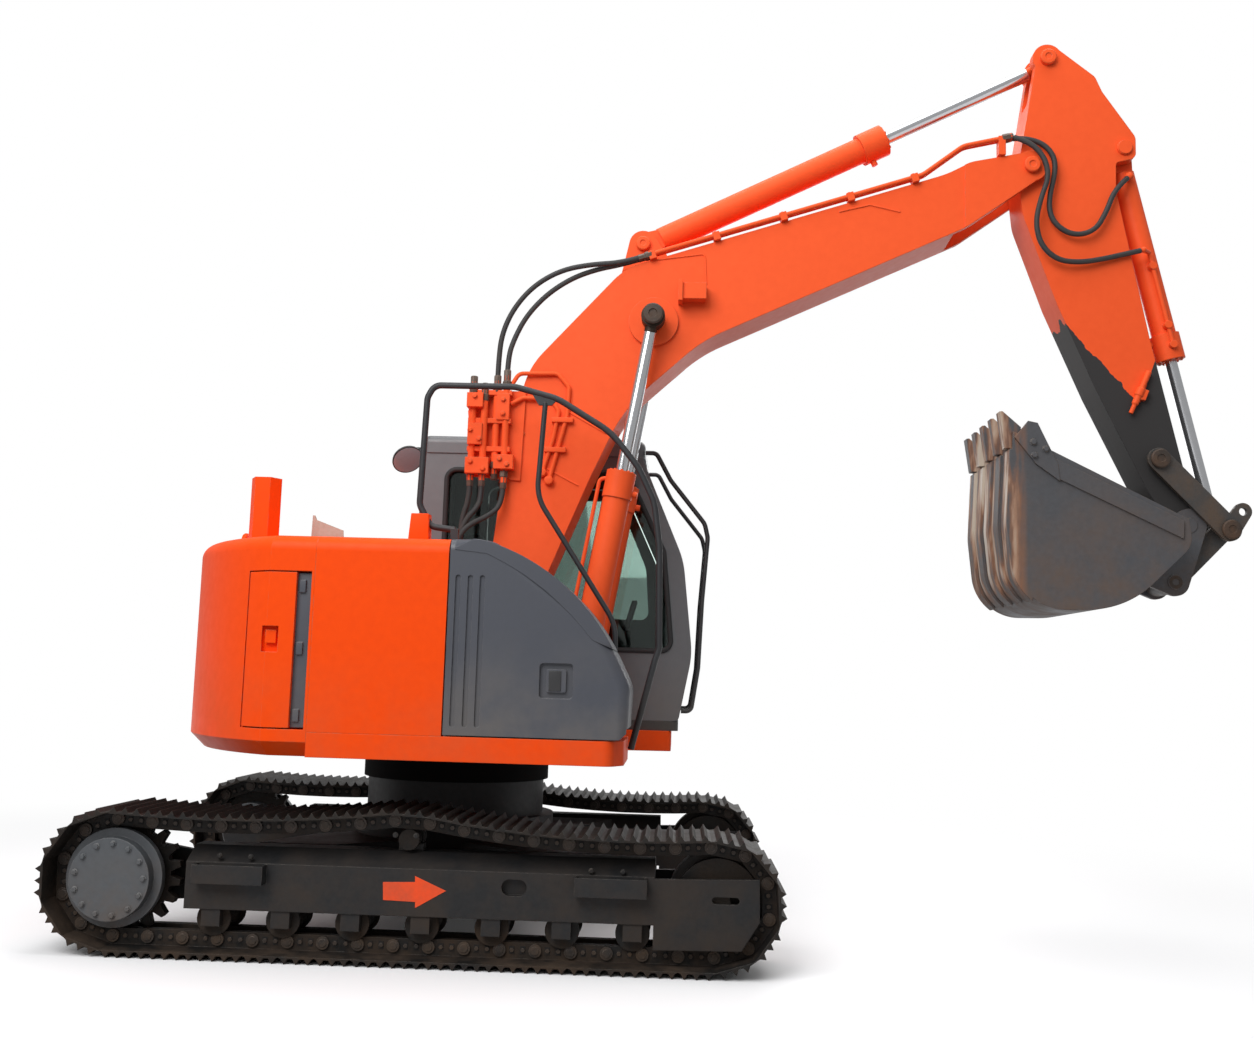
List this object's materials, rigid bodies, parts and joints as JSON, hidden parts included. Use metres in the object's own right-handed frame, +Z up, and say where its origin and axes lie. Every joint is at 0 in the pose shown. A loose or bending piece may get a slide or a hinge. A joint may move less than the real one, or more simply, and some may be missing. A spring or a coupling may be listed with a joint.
{
  "type": "crawler excavator",
  "caption": "Crawler excavator with a short tail: tracked undercarriage, slewing upper body with cab, bent boom, arm and bucket moved by hydraulic cylinders.",
  "frame": {"origin": "on the ground, on the slewing axis, midway between the tracks", "axes": "+X to the machine's front, +Y to its left (cab side), +Z up"},
  "size_m": [6.1263, 2.5073, 5.078],
  "materials": {
    "track_steel": "worn, dusty",
    "undercarriage_paint": "satin, dusty",
    "orange_paint": "gloss",
    "dark_grey_paint": "satin",
    "black_paint": "satin",
    "chrome_rod": "polished",
    "bucket_steel": "worn satin",
    "glass": "clear",
    "seat_fabric": "woven",
    "cab_plastic": "matte",
    "inner_metal": "satin",
    "hose_rubber": "matte"
  },
  "bodies": {
    "undercarriage": {"track_right": "track_steel", "track_left": "track_steel", "track_frame_right": "undercarriage_paint", "track_frame_left": "undercarriage_paint", "track_rollers": "track_steel", "carrier_rollers": "track_steel", "idlers": "track_steel", "final_drives": "undercarriage_paint", "sprockets": "track_steel", "car_body": "undercarriage_paint"},
    "upper": {"main_frame": "orange_paint", "counterweight": "orange_paint", "engine": "inner_metal", "right_panel": "orange_paint", "left_panel": "orange_paint", "exhaust_stack": "orange_paint", "fuel_tank": "inner_metal", "cab_shell": "dark_grey_paint", "cab_floor": "black_paint", "cab_roof": "dark_grey_paint", "cab_glass": "glass", "seat_base": "cab_plastic", "seat_cushion": "seat_fabric", "seat_back": "seat_fabric", "consoles": "cab_plastic", "right_rail": "black_paint", "cab_rails": "black_paint", "mirror": "black_paint", "foot_hoses": "hose_rubber"},
    "service_door": {"service_door": "orange_paint"},
    "front_cover": {"front_cover": "dark_grey_paint"},
    "engine_lid": {"engine_lid": "orange_paint"},
    "cab_door": {"cab_door": "dark_grey_paint", "door_glass": "glass"},
    "boom": {"boom": "orange_paint", "boom_pipes": "black_paint", "boom_lamp": "black_paint", "boom_manifold": "orange_paint", "boom_hoses": "hose_rubber", "arm_hoses": "hose_rubber"},
    "boom_barrels": {"boom_barrels": "orange_paint"},
    "boom_rods": {"boom_rods": "chrome_rod"},
    "arm_barrel": {"arm_barrel": "orange_paint"},
    "arm_rod": {"arm_rod": "chrome_rod"},
    "arm": {"arm": "orange_paint"},
    "bucket_barrel": {"bucket_barrel": "orange_paint"},
    "bucket_rod": {"bucket_rod": "chrome_rod"},
    "guide_links": {"guide_links": "bucket_steel"},
    "push_link": {"push_link": "bucket_steel"},
    "bucket": {"bucket": "bucket_steel", "bucket_teeth": "bucket_steel"}
  },
  "joints": [
    {"name": "swing", "type": "hinge", "parent": "undercarriage", "child": "upper", "pos_m": [0, 0, 0.8], "axis": [0, 0, 1], "continuous": true},
    {"name": "boom_lift", "type": "hinge", "parent": "upper", "child": "boom", "pos_m": [0.27, -0.11, 1.68], "axis": [0, -1, 0], "range_deg": [-85, 10], "deforming": ["foot_hoses"]},
    {"name": "boom_barrel_rock", "type": "hinge", "parent": "upper", "child": "boom_barrels", "pos_m": [0.69, -0.11, 1.26], "axis": [0, -1, 0], "range_deg": [-90, 11]},
    {"name": "boom_rod_slide", "type": "slide", "parent": "boom_barrels", "child": "boom_rods", "axis": [0.1681, 0, 0.9858], "range_m": [-0.8, 0.1]},
    {"name": "arm_swing", "type": "hinge", "parent": "boom", "child": "arm", "pos_m": [3.174, -0.11, 4.328], "axis": [0, 1, 0], "range_deg": [-87, 24], "deforming": ["arm_hoses"]},
    {"name": "arm_barrel_rock", "type": "hinge", "parent": "boom", "child": "arm_barrel", "pos_m": [0.977, -0.11, 3.861], "axis": [0, 1, 0], "range_deg": [-5, 5]},
    {"name": "arm_rod_slide", "type": "slide", "parent": "arm_barrel", "child": "arm_rod", "axis": [0.8974, 0, 0.4411], "range_m": [-0.93, 0.29]},
    {"name": "bucket_curl", "type": "hinge", "parent": "arm", "child": "bucket", "pos_m": [4.016, -0.11, 2.292], "axis": [0, 1, 0], "range_deg": [-155, 8]},
    {"name": "guide_link_turn", "type": "hinge", "parent": "arm", "child": "guide_links", "pos_m": [3.847, -0.11, 2.651], "axis": [0, 1, 0], "range_deg": [-80, 5]},
    {"name": "push_link_turn", "type": "hinge", "parent": "guide_links", "child": "push_link", "pos_m": [4.22, -0.11, 2.269], "axis": [0, 1, 0], "range_deg": [-3, 45]},
    {"name": "bucket_barrel_rock", "type": "hinge", "parent": "arm", "child": "bucket_barrel", "pos_m": [3.711, -0.11, 4.46], "axis": [0, 1, 0], "range_deg": [-9, 1]},
    {"name": "bucket_rod_slide", "type": "slide", "parent": "bucket_barrel", "child": "bucket_rod", "axis": [0.2263, 0, -0.9741], "range_m": [-0.64, 0.04]},
    {"name": "service_door_hinge", "type": "hinge", "parent": "upper", "child": "service_door", "pos_m": [-0.866, -1.155, 1.463], "axis": [0, 0, -1], "range_deg": [0, 100]},
    {"name": "front_cover_hinge", "type": "hinge", "parent": "upper", "child": "front_cover", "pos_m": [0.134, -1.231, 1.55], "axis": [0, 0, -1], "range_deg": [0, 75]},
    {"name": "engine_lid_hinge", "type": "hinge", "parent": "upper", "child": "engine_lid", "pos_m": [-0.02, -0.165, 2.05], "axis": [0, 1, 0], "range_deg": [0, 60]},
    {"name": "cab_door_hinge", "type": "hinge", "parent": "upper", "child": "cab_door", "pos_m": [-0.066, 1.2493, 1.8], "axis": [0, 0, 1], "range_deg": [0, 165]}
  ],
  "couplings": [
    {"joint": "boom_barrel_rock", "follows": "boom_lift", "ratio": 1.05},
    {"joint": "boom_rod_slide", "follows": "boom_lift", "m_per_rad": 0.5343},
    {"joint": "arm_barrel_rock", "follows": "arm_swing", "ratio": 0.01},
    {"joint": "arm_rod_slide", "follows": "arm_swing", "m_per_rad": 0.602},
    {"joint": "guide_link_turn", "follows": "bucket_curl", "ratio": 0.51},
    {"joint": "push_link_turn", "follows": "bucket_curl", "ratio": -0.2834},
    {"joint": "bucket_barrel_rock", "follows": "bucket_curl", "ratio": 0.0512},
    {"joint": "bucket_rod_slide", "follows": "bucket_curl", "m_per_rad": 0.2315}
  ]
}
